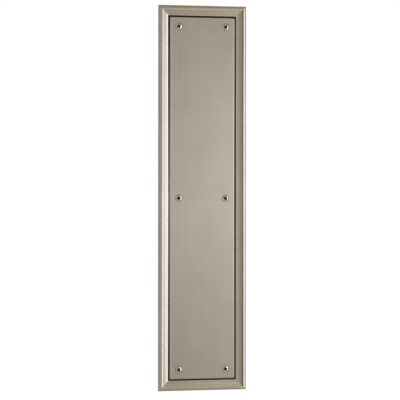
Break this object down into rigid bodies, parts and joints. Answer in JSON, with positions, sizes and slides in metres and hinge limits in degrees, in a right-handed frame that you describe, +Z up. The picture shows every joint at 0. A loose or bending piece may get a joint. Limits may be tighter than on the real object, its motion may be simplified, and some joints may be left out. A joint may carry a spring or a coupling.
{
  "type": "door finger plate",
  "caption": "Upright rectangular push plate with a mitred ogee frame, a sunk dark groove and a flat raised panel, with raised countersunk wood screws standing out of its flat back.",
  "frame": {"origin": "centre of the flat back face, where the plate lies on the door", "axes": "+Y out of the back into the door, so the front faces -Y; +Z up the door along the length; X across"},
  "size_m": [0.0888, 0.022, 0.381],
  "materials": {
    "satin_nickel_plate": "cast brass plated in satin nickel, brushed along its length, the groove darkened",
    "satin_nickel_screw": "brass wood screw plated in satin nickel, a little brighter than the plate"
  },
  "bodies": {
    "root": {"plate": "satin_nickel_plate", "fixing_screws": "satin_nickel_screw"}
  },
  "joints": []
}
